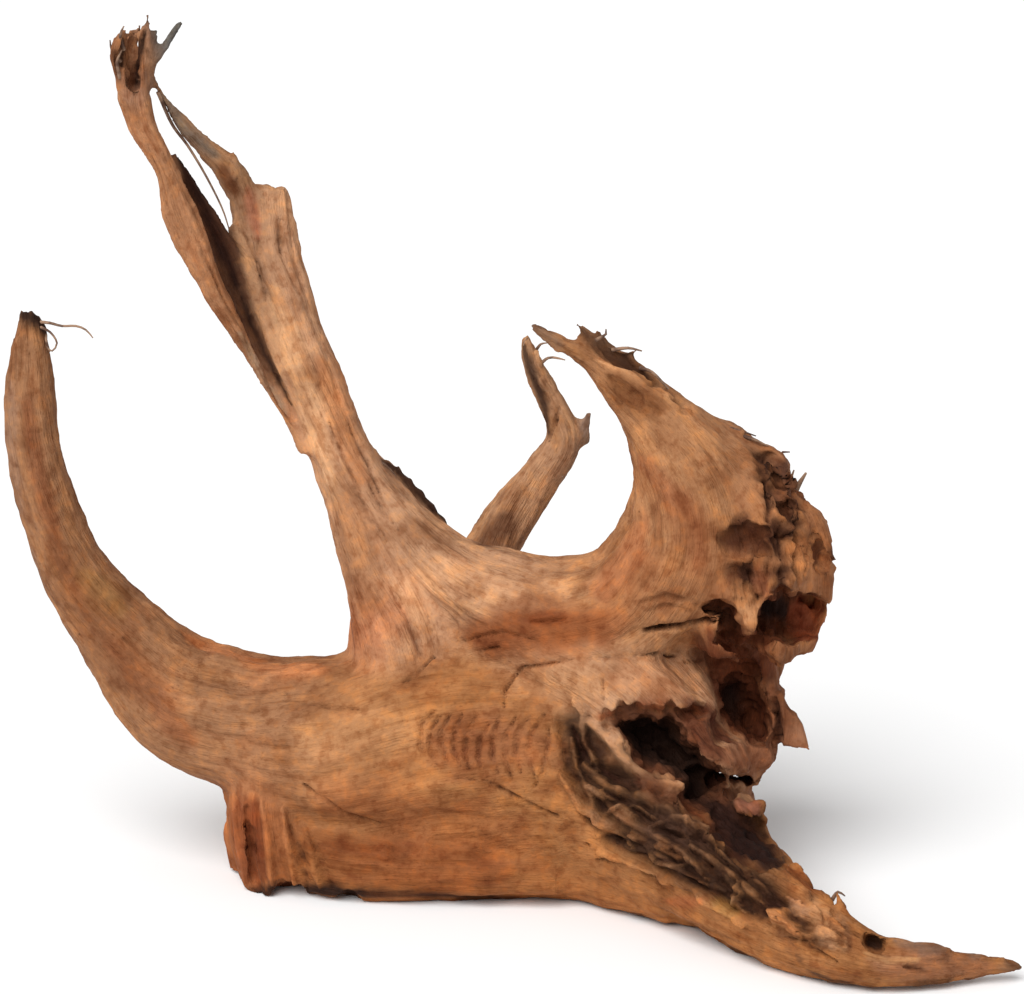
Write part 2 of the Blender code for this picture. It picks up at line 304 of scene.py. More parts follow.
def vertex_values(mesh, field):
    """Every vertex's place (co) or outward direction (normal), as one array."""
    flat = np.empty(len(mesh.vertices) * 3, dtype=np.float32)
    mesh.vertices.foreach_get(field, flat)
    return flat.reshape(-1, 3).astype(float)


GRAIN_SPACING = 1.5
GRAIN_WIDTH = 20.0
# How far beside a limb its grain still blends into its neighbour's, and where it has none left
BLEND_REACH = 3.0
BLEND_END = 60.0
# Sets each limb's grain apart from the others'
LIMB_APART = 137.0
POINTS_AT_ONCE = 20000


def grain_of(points):
    """Each limb's share in every point, the point's place in its straightened grain, and its girth."""
    count = len(points)
    gap = np.empty((len(LIMBS), count), dtype=np.float32)
    girth = np.empty((len(LIMBS), count), dtype=np.float32)
    place = np.empty((len(LIMBS), count, 3), dtype=np.float32)
    for limb, (_, turns, stations) in enumerate(LIMBS.values()):
        route = smooth_route(spots(stations), GRAIN_SPACING)
        centre = route[:, :3]
        along, side, inward = section_axes(centre)
        steps = np.linalg.norm(np.diff(centre, axis=0), axis=1)
        arc = np.concatenate(([0.0], np.cumsum(steps)))
        slope = np.gradient(route[:, 3:], arc, axis=0)
        near = np.empty(count, dtype=np.int64)
        for first in range(0, count, POINTS_AT_ONCE):
            block = slice(first, first + POINTS_AT_ONCE)
            near[block] = ((centre ** 2).sum(1) - 2 * points[block] @ centre.T).argmin(1)
        away = points - centre[near]
        over = (away * along[near]).sum(1)
        inside = np.clip(over, -GRAIN_SPACING, GRAIN_SPACING)
        size = np.maximum(route[near, 3:] + inside[:, None] * slope[near], 1.0)
        thin = size.min(axis=1)
        across = (away * side[near]).sum(1) / size[:, 0]
        deep = (away * inward[near]).sum(1) / size[:, 1]
        angle = 2 * math.pi * turns * (arc[near] + inside) / arc[-1]
        wide = np.sqrt(thin * GRAIN_WIDTH)
        gap[limb] = (np.hypot(across, deep) - 1.0) * thin + np.abs(over - inside)
        girth[limb] = thin
        place[limb, :, 0] = arc[near] + over + LIMB_APART * limb
        place[limb, :, 1] = (np.cos(angle) * across + np.sin(angle) * deep) * wide
        place[limb, :, 2] = (np.cos(angle) * deep - np.sin(angle) * across) * wide
    share = np.exp(-np.clip(gap - gap.min(axis=0), 0.0, BLEND_END) / BLEND_REACH)
    share /= share.sum(axis=0)
    return share, place, (share * girth).sum(axis=0)


# Thick limbs are worn smooth; thin ones keep the strands that they are made of.
WEAR_STEPS = 30
UNWORN_GIRTH = 6.0
WORN_GIRTH = 18.0

girth = grain_of(vertex_values(root.data, "co"))[2]
thick = root.vertex_groups.new(name="thick")
weights = np.clip((girth - UNWORN_GIRTH) / (WORN_GIRTH - UNWORN_GIRTH), 0.0, 1.0)
for index, weight in enumerate(weights):
    thick.add((index,), float(weight), "REPLACE")
add_smoothing(root, WEAR_STEPS).vertex_group = "thick"
apply_modifiers(root)
root.vertex_groups.clear()


def ray_through(u, v):
    """The direction in which the camera sees a pixel."""
    ray = -towards_camera * FOCAL_PIXELS - picture_up * (v - PHOTO_HEIGHT / 2)
    ray = ray + np.array((u - PHOTO_WIDTH / 2, 0.0, 0.0))
    return ray / np.linalg.norm(ray)


def on_form(u, v):
    """The point of the whole form that the photograph shows at a pixel, or None beside it."""
    hit = whole_form.ray_cast(Vector(eye), Vector(ray_through(u, v)))
    return None if hit[0] is None else np.array(hit[0])


def at_depth(u, v, y):
    """The point at a pixel of the photograph that lies y mm back."""
    ray = ray_through(u, v)
    return eye + ray * (y - eye[1]) / ray[1]


# Broken ends and torn bark. Where limbs broke off, stiff splinters of the same wood stand out.
# Each is a row of u, v, y and radius from its foot to its tip.
SPLINTERS = """
30,345,2,5 27,325,2,3.4 24,311,2,1
40,345,2,4 42,328,2,2.4 45,318,2,0.9
126,100,-3,4 121,76,-5,3.4 118,56,-5,2.8 120,40,-4,2.2 127,27,-3,0.9
121,84,-5,2.4 116,66,-7,1.8 113,47,-6,0.9
139,92,2,3.6 143,66,1,3.4 146,42,0,2.9 147,28,0,2 148,12,0,0.9
144,82,3,2.8 152,58,3,2.2 154,42,3,1.8 155,29,3,0.9
134,92,5,3.4 132,66,6,3.2 133,44,6,2.6 139,30,5,1.6 140,22,4,0.9
124,72,3,2.6 125,50,4,2.2 130,36,4,1.4 131,28,4,0.8
138,88,1,3 140,60,0,2.8 141,42,0,2.4 142,25,0,1
126,88,-1,2.6 128,62,0,2.6 130,46,0,2.2 131,30,0,1
118,70,-8,2 112,58,-8,1.6 116,44,-8,1.2 123,38,-7,0.7
978,964,-127,3.8 1000,967,-126,2.4 1022,969,-125,0.6
990,966,-127,2.8 1001,962,-126,1.6 1007,957,-126,0.8
886,941,-130,2.6 917,947,-131,2.6 940,948,-130,2.2 954,948,-129,0.8
234,182,18,1.8 235,166,18,1.3 233,152,18,0.8
560,352,-8,2.2 545,338,-9,1.8 531,325,-10,1
618,384,-10,3 596,354,-9,2.4 585,338,-8,1.8 575,322,-8,0.9
632,386,-6,2.8 612,356,-5,2.2 600,338,-5,1.4 596,328,-5,0.8
648,384,-2,2.6 630,362,-2,1.8 612,346,-2,1.2 603,340,-2,0.8
668,398,-4,2.2 650,372,-4,1.8 632,354,-4,1.4 640,349,-4,0.8
700,420,-2,2.4 722,426,-2,1.8 740,430,-2,1.3 750,434,-2,0.8
690,412,2,2.4 706,414,2,1.8 722,420,2,0.9
781,490,0,3.2 785,472,0,2.6 788,455,0,1.2
812,552,-10,3 824,535,-10,2 833,542,-10,0.9
822,580,-14,3 831,566,-14,2.2 838,570,-14,0.9
545,392,70,3 531,370,71,2.6 526,354,71,1.9 526,341,72,0.9
540,380,67,2.2 538,364,66,1.5 535,346,66,0.8
548,400,64,2 543,388,63,1.6 538,376,62,0.8
588,446,66,2.2 588,428,66,1.9 585,409,66,0.8
846,924,-118,2.8 842,908,-117,2 835,888,-116,0.8
862,934,-118,2.4 850,922,-115,1.8 845,908,-113,0.8
792,880,-96,3 800,868,-94,2.2 790,861,-92,1
812,892,-102,3 806,878,-100,2 797,866,-98,1
830,905,-110,3 828,897,-108,2 818,886,-106,1
760,800,-60,3 757,815,-62,2.8 764,826,-64,1.2
238,806,-8,3.6 228,800,-8,2.8 222,791,-8,1.2
240,880,-8,4 230,846,-8,3.4 225,822,-8,1.6
262,800,-22,4 257,840,-24,4.4 262,884,-26,4.4
284,806,-26,4 281,845,-28,4.4 286,886,-30,4.4
"""
# Plates of bark and torn wood stand off the surface: the front's y, the thickness and the outline.
PLATES = {
    "flake": (-18, 7, "776,690 783,690 790,709 800,715 807,730 812,747 814,755 802,754 780,749 774,720"),
    "crest_edge": (-7, 8, """
        576,323 580,322 589,334 599,328 603,341 619,349 638,349 638,354 624,356 642,366 658,376 670,392
        684,408 707,419 730,426 748,431 748,434 725,433 707,434 688,428 661,412 638,396 610,376 592,362
        578,344"""),
    "mast_spike": (22, 3, "234,152 238,162 247,176 256,188 262,204 244,200 238,180"),
    "flange": (24, 5, """
        362,448 372,447 378,457 388,460 393,468 399,464 404,475 412,478 416,487 424,492 428,501 436,507
        441,516 450,524 452,532 436,538 412,520 390,496 372,474"""),
    "fin_foot": (18, 6, "224,226 236,222 248,240 258,270 266,304 252,296 246,268 234,248"),
    # The split's back lies in the split behind the blade and is painted near-black there, painted shade.
    "split_back": (21, 8, """
        200,222 222,244 238,272 250,306 262,345 285,380 303,420 312,450 292,440 271,402 246,352 223,306
        203,258"""),
    "mast_side": (15, 12, """
        236,246 243,268 248,293 257,320 266,345 273,361 281,381 290,403 298,425 312,452 304,400 288,350
        272,300 258,258"""),
    "bark_top": (-10, 9, "752,450 769,446 787,456 792,470 785,484 797,497 788,512 772,506 760,484"),
    "bark_side": (-26, 14, "803,502 821,515 831,532 835,549 837,566 826,570 816,552 806,528"),
    "bark_flap": (-36, 7, "770,560 784,552 804,560 812,576 803,590 795,580 786,594 777,582"),
    "bark_tongue": (-40, 6, "736,560 760,556 764,580 755,606 751,626 744,612 738,590"),
    "heart_lip": (-44, 5, """
        604,706 616,690 640,694 668,690 700,696 712,704 700,708 688,714 676,703 662,712 648,714 638,704
        624,700 610,718"""),
    "shelf": (-28, 14, "712,745 732,748 754,747 770,748 776,764 764,773 744,770 722,768"),
}
PLATE_BACK = 0.9
SPLINTER_SPACING = 2.0
TORN_VOXEL = 1.2


def rows(text):
    """The rows of a text table. A word with commas is a tuple of numbers, any other is one number."""
    for line in text.strip().splitlines():
        yield [spots(word)[0] if "," in word else float(word) for word in line.split()]


def layered(layers):
    """A closed solid through outlines of the same count of points, one behind another."""
    shape = bmesh.new()
    rings = [[shape.verts.new(point) for point in layer] for layer in layers]
    shape.faces.new(rings[0])
    shape.faces.new(rings[-1][::-1])
    for ring, next_ring in zip(rings, rings[1:]):
        for here, there in zip(range(-1, len(ring)), range(len(ring))):
            shape.faces.new((ring[here], next_ring[here], next_ring[there], ring[there]))
    bmesh.ops.recalc_face_normals(shape, faces=shape.faces)
    bmesh.ops.triangulate(shape, faces=shape.faces)
    mesh = bpy.data.meshes.new("layered")
    shape.to_mesh(mesh)
    shape.free()
    return mesh


def plate(y, thickness, outline):
    """A plate of bark whose back is a little smaller than its front."""
    front = np.array([at_depth(u, v, y) for u, v in spots(outline)])
    back = front.mean(axis=0) + PLATE_BACK * (front - front.mean(axis=0)) + (0.0, thickness, 0.0)
    return layered((front, back))


def splinters(name, text):
    """A mesh of tapering splinters, each bent smoothly through its stations."""
    bent = []
    for stations in rows(text):
        known = [(*at_depth(u, v, y), radius) for u, v, y, radius in stations]
        route = smooth_route(known, SPLINTER_SPACING)
        bent.append((route[:, :3], route[:, 3]))
    return tubes(name, bent)


def form_of(mesh):
    """The mesh as a form that rays and nearest points can be found on."""
    places = [vertex.co.copy() for vertex in mesh.vertices]
    return BVHTree.FromPolygons(places, [tuple(polygon.vertices) for polygon in mesh.polygons])


stiff = splinters("splinters", SPLINTERS)
add_solids(root, [stiff, *(plate(*sizes) for sizes in PLATES.values())])
skin(root, TORN_VOXEL, 1)
whole_form = form_of(root.data)

# Rotten heart. Soft wood has rotted out of the right end and left a cave with a toothed rim, deep
# holes and an overhang. Smaller losses are bark pits, gaps at the base and broken ends. Each is
# its depth, the share of its outline that is left at that depth, and the outline.
HOLLOWS = {
    "cave_rim": (6, 0.6, """
        598,722 604,708 613,712 619,697 628,707 637,699 645,710 656,702 664,712 673,698 683,708 692,701
        709,708 703,720 690,726 700,742 694,752 660,760 627,751 618,732 606,730"""),
    "cave": (34, 0.4, """
        610,728 620,718 632,722 646,714 658,724 668,716 682,724 686,736 700,754 716,764 722,777 711,784
        690,788 663,776 645,770 630,754 622,736"""),
    "deep_hole": (40, 0.5, "684,770 700,764 716,766 730,778 726,798 716,812 700,819 680,806"),
    "side_hole": (27, 0.4, """
        712,693 714,678 724,681 733,670 744,680 752,678 759,690 768,702 771,724 768,741 754,747 742,742
        726,749 713,741 706,724 717,711"""),
    "column": (17, 0.6, """
        700,607 712,600 726,598 735,604 741,617 747,629 752,634 762,636 773,640 770,654 776,668 763,680
        741,688 720,690 706,672 702,650 716,632 719,618 708,613"""),
    "overhang": (27, 0.85, """
        757,622 761,608 768,597 776,600 782,586 791,596 801,590 806,597 812,590 824,599 846,604 846,640
        818,643 793,646 778,640 764,634 755,631"""),
    "side_notch": (120, 1, """
        752,791 762,782 782,770 800,770 810,850 796,862 783,854 773,840 769,822 762,807"""),
    "waist": (120, 1, "794,655 822,652 832,664 806,700 786,694 779,685 783,672 790,666"),
    "under_shelf": (22, 0.7, """
        706,806 716,788 728,785 758,788 764,800 750,792 738,795 734,802 738,812 749,818 760,815 772,824
        780,850 786,868 768,872 750,860 730,848 712,834 704,818"""),
    "see_through": (80, 2.5, "728,777 741,776 752,777 753,783 741,785 729,784"),
    "dark_patch": (4, 0.6, """
        719,545 722,528 730,533 734,524 743,527 748,518 758,523 769,527 766,540 771,552 762,560 756,552
        745,561 739,554 726,559"""),
    "bark_pit_high": (8, 0.5, "774,474 780,468 788,478 785,492 795,505 790,520 780,512 782,500 774,490"),
    "bark_pit_low": (8, 0.5, "812,534 820,538 826,552 832,570 824,574 818,560 810,548"),
    "crest_groove": (3.2, 0.5, "606,374 620,377 640,391 658,405 668,420 652,417 632,407 614,393"),
    "knob_gap": (6, 0.7, "126,34 135,30 137,52 136,72 133,92 129,84 127,60"),
    "knob_curl": (4, 0.6, "117,50 121,46 122,60 120,74 117,66"),
    "tail_hole": (9, 0.4, """
        863,939 868,931 873,933 877,937 883,936 889,942 884,946 886,951 876,954 871,949 865,947"""),
    "heel_gap": (4.5, 0.3, """
        244,808 249,800 251,822 255,840 254,858 259,876 261,894 253,895 249,872 246,850 247,832 243,820"""),
    "base_gap_left": (12, 0.5, "268,900 273,887 284,882 297,884 306,890 310,902"),
    "base_gap_right": (10, 0.5, "328,904 335,894 348,889 358,891 364,904"),
    "crest_break": (60, 1, """
        791,446 792,470 794,482 799,493 809,503 820,513 828,525 835,537 848,530 846,500 826,470 806,448"""),
    "horn_break": (40, 1, "12,308 20,311 26,314 31,312 36,318 40,318 45,325 52,328 60,322 60,296 12,296"),
}
HOLLOW_FRONT = 9.0
HOLLOW_LAYERS = (0.0, 0.35, 0.7, 0.9, 1.0)
# Height and size of the lumps on the rotten wood
HOLLOW_ROUGHNESS = ((1.5, 8.0), (1.3, 4.0), (0.9, 2.3))
CUTTER_VOXEL = 1.0
FINE_VOXEL = 0.9


def hollow_solid(depth, end, outline):
    """The wood that is missing: it narrows away from the camera to a share of its outline."""
    outline = spots(outline)
    seen = [on_form(u, v) for u, v in outline]
    middle = np.mean([point for point in seen if point is not None], axis=0)
    rim = np.array([
        at_depth(*pixel, middle[1]) if point is None else point
        for pixel, point in zip(outline, seen)
    ])
    middle = rim.mean(axis=0)
    layers = [rim + towards_camera * HOLLOW_FRONT]
    for share in HOLLOW_LAYERS:
        scale = 1.0 + (end - 1.0) * share ** 2
        layers.append(middle + scale * (rim - middle) - towards_camera * share * depth)
    return layered(layers)


def lumps(points, seed):
    """Smooth random values, mostly from -1 to 1, at many points at once. A lump is one unit."""
    cell = np.floor(points).astype(np.int64)
    inside = points - cell
    ease = inside ** 3 * (inside * (inside * 6 - 15) + 10)
    total = np.zeros(len(points))
    for corner in itertools.product((0, 1), repeat=3):
        spot = cell + corner
        mixed = spot[:, 0] * 374761393 + spot[:, 1] * 668265263 + spot[:, 2] * 1440662683
        mixed = (mixed + seed * 974634777) & 0xFFFFFFFF
        mixed = ((mixed ^ (mixed >> 15)) * 2246822519) & 0xFFFFFFFF
        mixed = ((mixed ^ (mixed >> 13)) * 3266489917) & 0xFFFFFFFF
        mixed ^= mixed >> 16
        slope = np.column_stack((mixed & 255, mixed >> 8 & 255, mixed >> 16 & 255)) / 127.5 - 1
        pull = (slope * (inside - corner)).sum(axis=1)
        total += pull * np.prod(np.where(corner, ease, 1 - ease), axis=1)
    return 1.5 * total


def move_vertices(mesh, places):
    """Puts every vertex in its new place."""
    mesh.vertices.foreach_set("co", places.astype(np.float32).ravel())


def stand_flat(mesh):
    """Cuts off all that is below the floor, and closes the cut."""
    standing = bmesh.new()
    standing.from_mesh(mesh)
    cut_open = bmesh.ops.bisect_plane(
        standing,
        geom=standing.verts[:] + standing.edges[:] + standing.faces[:],
        plane_co=(0.0, 0.0, 0.0),
        plane_no=(0.0, 0.0, -1.0),
        clear_outer=True,
    )["geom_cut"]
    rims = [part for part in cut_open if isinstance(part, bmesh.types.BMEdge)]
    bmesh.ops.holes_fill(standing, edges=rims)
    bmesh.ops.triangulate(standing, faces=[face for face in standing.faces if len(face.verts) > 4])
    standing.to_mesh(mesh)
    standing.free()


cutter = add_object("heart_cutter", bpy.data.meshes.new("heart_cutter"))
add_solids(cutter, [hollow_solid(*sizes) for sizes in HOLLOWS.values()])
skin(cutter, CUTTER_VOXEL, 1)
rough = vertex_values(cutter.data, "co")
outwards = vertex_values(cutter.data, "normal")
for height, size in HOLLOW_ROUGHNESS:
    rough += outwards * (height * lumps(rough / size, 21))[:, None]
move_vertices(cutter.data, rough)
skin(cutter, FINE_VOXEL, 0)
stand_flat(root.data)
cut = root.modifiers.new("heart", "BOOLEAN")
cut.operation = "DIFFERENCE"
cut.solver = "EXACT"
cut.object = cutter
apply_modifiers(root)
bpy.data.objects.remove(cutter)
skin(root, FINE_VOXEL, 1)
keep_largest_shell(root)

# Grain. Long worn fibres run with each limb: broad flutes, grooves between bundles of fibres, and
# finer ones between the fibres. Sizes are (length, width, width) of one lump, in mm.
FLUTES = (60.0, 11.0, 11.0)
FLUTE_HEIGHT = 0.9
BUNDLES = (40.0, 5.0, 5.0)
BUNDLE_HEIGHT = 0.6
FIBRES = (24.0, 2.0, 2.0)
FIBRE_HEIGHT = 0.3
# Checks are cracks that open in patches as the wood dries.
CHECKS = (85.0, 9.0, 9.0)
CHECK_DEPTH = 1.5
CHECK_PATCHES = (60.0, 30.0, 30.0)
# Gnarled wood is roped, and bark is flaked.
ROPES = (22.0, 4.6, 4.6)
ROPE_HEIGHT = 2.4
BARK_FLAKES = (12.0, 6.0, 6.0)
FLAKE_HEIGHT = 3.4
LEAST_SHARE = 0.03


def along_grain(sizes, seed, share, place):
    """Lumps stretched along the grain, blended from limb to limb."""
    total = np.zeros(share.shape[1])
    for held, where in zip(share, place):
        some = np.flatnonzero(held > LEAST_SHARE)
        total[some] += held[some] * lumps(where[some] / sizes, seed)
    return total


def valleys(values, steepness):
    """0 on rounded ridges down to -1 in the sharp valleys between them."""
    return np.minimum(np.abs(values) * steepness, 1.0) - 1.0


# A mark is followed in steps of a few pixels, and keeps this share of its width at its ends.
MARK_STEP = 3
MARK_END = 0.35


def nearness(points, pixels, half_width, limit=1.0):
    """Distance, in half widths up to a limit, from a line on the form that narrows to its ends."""
    drawn = []
    for (u, v), (next_u, next_v) in zip(pixels, pixels[1:] + pixels[-1:]):
        steps = max(1, round(math.hypot(next_u - u, next_v - v) / MARK_STEP))
        for step in range(steps):
            spot = on_form(u + (next_u - u) * step / steps, v + (next_v - v) * step / steps)
            if spot is not None:
                drawn.append(spot)
    if not drawn:
        return np.full(len(points), limit)
    drawn = np.array(drawn)
    middling = np.sin(math.pi * (np.arange(len(drawn)) + 0.5) / len(drawn))
    reach = half_width * (MARK_END + (1.0 - MARK_END) * np.sqrt(middling))
    distance = np.full(len(points), limit)
    low, high = drawn.min(axis=0) - limit * half_width, drawn.max(axis=0) + limit * half_width
    near = np.flatnonzero(((points > low) & (points < high)).all(axis=1))
    if len(near):
        gaps = np.linalg.norm(points[near, None] - drawn[None], axis=2) / reach
        distance[near] = np.minimum(gaps.min(axis=1), limit)
    return distance


# Half widths at which a mark has faded out, and at which the search for it stops
MARK_EDGE = 1.5
MARK_REACH = 2.2


def marked(points, wobble, half_width, pixels):
    """How much each point lies in a mark, from 0 outside to 1 in its middle."""
    away = nearness(points, pixels, half_width, MARK_REACH)
    return np.where(away < MARK_REACH, np.clip(MARK_EDGE - away * (1.0 + wobble), 0.0, 1.0), 0.0)


# Places where the wood is gnarled, and where it is ragged bark: half width, then pixels
GNARLED = """
9 573,722 585,750 600,790 622,830
15 612,775 650,815 700,850
11.5 690,830 735,868 772,893
6.5 606,838 650,856 700,878 750,908
"""
BARKED = """
4.5 575,326 600,345 640,366 690,410
8 765,455 785,490 800,520
9 745,530 790,540 825,560
8 735,570 760,590 800,575
8 762,905 786,912 812,926 836,946
"""
# Ridges (positive) and cracks (negative) that the photograph places: height, half width, pixels
LINES = """
4.2 3.4 588,722 602,733 613,745 630,765 654,782 690,788
4 3.2 583,762 600,778 620,788 645,795 665,804 695,826
3.8 2.6 560,775 581,806 601,822 622,833 650,845 668,848
3.8 2.4 590,786 608,806 634,824 658,838 683,851 700,872
3.6 2.8 600,850 640,866 665,880 690,890 715,905 745,925
3.4 2.2 650,826 668,816 690,818 706,828 716,842
3.8 2.8 690,846 716,862 745,884 770,908 800,938
3.4 2.2 716,846 742,868 770,890 800,900
3.4 2.4 752,868 780,880 806,896 822,915
3 2 574,700 582,716 584,740 598,768
3 1.8 608,812 622,802 640,806 652,816
2.6 1.8 676,800 690,812 682,830 694,846
2.6 1.8 640,846 652,862 672,866 690,860
2.6 1.8 704,878 720,874 738,892 730,906
3 1.9 571,738 578,768 590,796 598,824 612,846
3 1.8 600,790 628,812 648,826 668,842
2.8 1.8 628,836 652,852 680,872 704,884
2.8 1.8 660,850 690,862 722,888 752,912
2.6 1.6 618,776 640,782 652,792 676,794
2.6 1.6 596,836 616,834 630,848
2.4 1.6 656,806 650,822 662,834
2.4 1.6 736,880 730,896 744,912
2.4 1.6 760,900 774,920 800,925
-2.4 1.8 573,727 583,751 579,765
-2.4 2 599,764 612,772 628,779
-2.8 1.9 581,814 601,831 613,843
-4.5 2.6 655,831 678,831
-4.5 2.6 691,831 707,832
-2.8 1.8 632,808 642,814
-3 1.9 636,841 652,849
-2.6 1.8 587,845
-2.6 1.8 591,822
-3 1.9 695,851 709,865
-2.4 1.6 597,861 618,861
-2.6 1.6 642,873 656,876
-2.8 1.8 654,861 683,861
-2.4 1.6 681,878 695,882
-2.4 1.8 604,790 625,802
-2.4 1.8 726,890 750,912
-3.2 2.2 720,827 732,843 756,863 779,869
-2.2 1.4 504,706 505,690 513,677 522,668 540,667 561,661 571,659
-1.8 1.4 587,660 598,658 640,655 676,655
-2.2 1.2 603,679 603,699
-2 1.5 434,655 421,668 403,681
-2 1.6 463,641 483,636 504,633 535,641
-1.8 1.6 479,653 498,649
-2.2 1.6 531,621 548,620 565,617
-7 2.2 645,631 660,629 683,627 704,622 724,618
-1.6 2.4 640,604 666,597 690,602 704,610
-1.2 1.6 650,612 668,606 690,612
-2 1.4 649,655 675,655
-2 1.4 685,660 700,660
-1.8 1.6 353,490 371,521 386,541
-1.8 1.6 371,484 382,511 397,530
-1.4 1.4 254,212 258,256 266,300
-1.8 1.8 330,423 340,449 360,494
-1.8 1.6 351,425 369,462 384,501
-1.6 1.8 281,220 283,252
-1.8 2 303,785 322,800 342,814 379,824
-2 2.2 234,796 240,824 243,850
-2 2.8 292,826 302,862 306,890
-1.6 2.6 314,842 323,868 332,890
2.6 2.6 262,800 268,840 272,884
2.2 2.4 282,808 288,846 296,884
1.8 2.4 304,826 312,860 320,888
1.6 2.4 234,812 238,846 246,884
-5 2.6 774,700 779,730 779,752
-2 1.4 307,702 329,707 358,709
-2 1.4 288,692
-1.8 1.6 452,778 487,782 521,801 560,820
1.6 2 599,362 629,373 661,396 690,412
-3.5 2.2 833,909 850,926 862,936
-2.6 1.8 812,900 826,918 846,940
-2.2 1.6 780,920 810,948 836,962
1.4 1.8 864,952 888,960 917,960 945,955
-1.8 1.6 905,967 922,970
-2 1.6 560,408 553,428 548,440
-2.2 1.5 745,560 746,596
-2 1.4 768,560 765,590
-2.2 1.5 785,520 783,560
-2.2 1.5 800,510 803,575
-2.2 1.5 812,540 808,580
1.4 1.8 730,570 734,595
-4 2.4 766,478 772,498 768,520
-4 2.4 798,520 806,540 803,562
-4 2 750,556 752,580 757,600
-4 2.2 776,530 790,536 800,530
2 2.4 683,725 700,741 718,758
-3.2 1.8 768,690 776,732 777,766 754,786
-2 1.4 123,38 121,66
-2.6 1.6 145,30 138,58 137,86
-1.6 1.2 131,34 129,62
-1.6 1.2 116,52 118,76
"""
# Ripples are crescents in the wood, like waves left in sand.
RIPPLES = """
434,710 422,724 420,745 425,759
440,716 431,730 429,749 436,764
450,714 442,730 441,746 447,760
462,714 455,730 453,749 460,766
477,714 467,734 464,752 468,768
490,722 479,740 477,758 483,777
500,716 493,734 491,754 497,772
516,716 506,736 504,756 510,778
530,716 518,732 515,752 520,772
545,714 532,732 528,754 534,778
549,727 548,745 542,770 534,787
560,722 563,745 568,762
572,724 577,742 589,758
"""
RIPPLE_DEPTH = 2.2
RIPPLE_HALF_WIDTH = 1.6
# Knots are rings of grain where small side roots died back: a place near one, radius and height.
KNOTS = [
    (on_form(405, 851), 9.0, 1.4),
    ((-72, 70, 66), 8.0, 1.8),
    ((24, 70, 74), 11.0, 2.4),
    ((86, 60, 128), 9.0, 2.2),
    ((-20, 70, 24), 7.0, 1.6),
    ((-132, 60, 70), 7.0, 1.5),
    ((70, 50, 172), 7.0, 1.6),
]
# Wood counts as rotten from this far under the whole form, fully so after the rise
ROTTEN_DEPTH = 2.5
ROTTEN_RISE = 3.0
# Relief stays under this share of a limb's girth, so that it can't fold a thin limb
MOST_RELIEF = 0.4

points = vertex_values(root.data, "co")
normals = vertex_values(root.data, "normal")
share, place, girth = grain_of(points)
wobble = 0.35 * lumps(points / 7.0, 5)
gnarled, barked = (
    np.max([marked(points, wobble, width, pixels) for width, *pixels in rows(text)], axis=0)
    for text in (GNARLED, BARKED)
)

hollow = np.zeros(len(points))
for index, point in enumerate(points):
    near, outward, _, distance = whole_form.find_nearest(Vector(point))
    if (Vector(point) - near).dot(outward) < 0.0:
        hollow[index] = distance
inner = np.clip((hollow - ROTTEN_DEPTH) / ROTTEN_RISE, 0.0, 1.0)

mottle, pebble, crumb, grit = (
    lumps(points / size, seed) for size, seed in ((24.0, 7), (9.0, 8), (4.0, 9), (2.4, 13))
)
# Heights are in mm: first the grain and its unevenness, then gnarled, barked and rotten wood.
relief = FLUTE_HEIGHT * along_grain(FLUTES, 1, share, place)
relief += BUNDLE_HEIGHT * valleys(along_grain(BUNDLES, 2, share, place), 2.6)
relief += FIBRE_HEIGHT * valleys(along_grain(FIBRES, 3, share, place), 2.2)
relief += 0.9 * mottle + 0.5 * pebble + 0.28 * crumb
relief += 0.8 * np.maximum(np.maximum(gnarled, barked), inner) * grit
ropes = valleys(along_grain(ROPES, 10, share, place), 2.2)
relief += gnarled * (ROPE_HEIGHT * ropes - ROPE_HEIGHT + 1.2 * pebble + 0.5 * crumb)
flakes = valleys(along_grain(BARK_FLAKES, 12, share, place), 2.6)
relief += barked * (FLAKE_HEIGHT * flakes - 0.6 + 1.8 * pebble + 1.2 * crumb)
relief += inner * (1.6 * pebble + 1.5 * crumb)
patches = np.clip(along_grain(CHECK_PATCHES, 5, share, place) * 2.5 - 0.1, 0.0, 1.0)
crack = CHECK_DEPTH * patches * valleys(along_grain(CHECKS, 4, share, place), 4.5)
# Ridges are worn and cracks are torn by these shares of their height.
worn = 1.0 + 0.4 * pebble
torn = 1.0 + 0.8 * crumb
for height, half_width, *pixels in rows(LINES):
    closeness = 1.0 - nearness(points, pixels, half_width) ** 2
    if height > 0:
        relief += height * worn * closeness
    else:
        crack += height * torn * closeness ** 2
for pixels in rows(RIPPLES):
    crack -= RIPPLE_DEPTH * torn * (1.0 - nearness(points, pixels, RIPPLE_HALF_WIDTH))
for near, radius, height in KNOTS:
    middle = np.array(whole_form.find_nearest(Vector(near))[0])
    away = np.linalg.norm(points - middle, axis=1) / radius * (1.0 + 0.12 * pebble)
    relief += height * np.exp(-((away - 1.0) / 0.3) ** 2)
    crack -= height * np.exp(-(away / 0.5) ** 2)
relief += crack
relief = np.clip(relief, -MOST_RELIEF * girth, MOST_RELIEF * girth)
points += normals * relief[:, None]
points[:, 2] = np.maximum(points[:, 2], 0.0)
move_vertices(root.data, points)


def store(name, kind, domain, field, values):
    """Keeps values in a new attribute of the root."""
    attribute = root.data.attributes.new(name, kind, domain)
    attribute.data.foreach_set(field, values.astype(np.float32).ravel())


measured = {"relief": relief, "crack": crack, "hollow": hollow, "gnarled": gnarled, "barked": barked}
for name, values in measured.items():
    store(name, "FLOAT", "POINT", "value", values)

# The most triangles that the root keeps after thinning out. A few faces fewer than a
# piece may have
MOST_TRIANGLES = 195000
triangles = sum(len(polygon.vertices) - 2 for polygon in root.data.polygons)
thin_out = root.modifiers.new("thin_out", "DECIMATE")
thin_out.ratio = MOST_TRIANGLES / triangles
apply_modifiers(root)
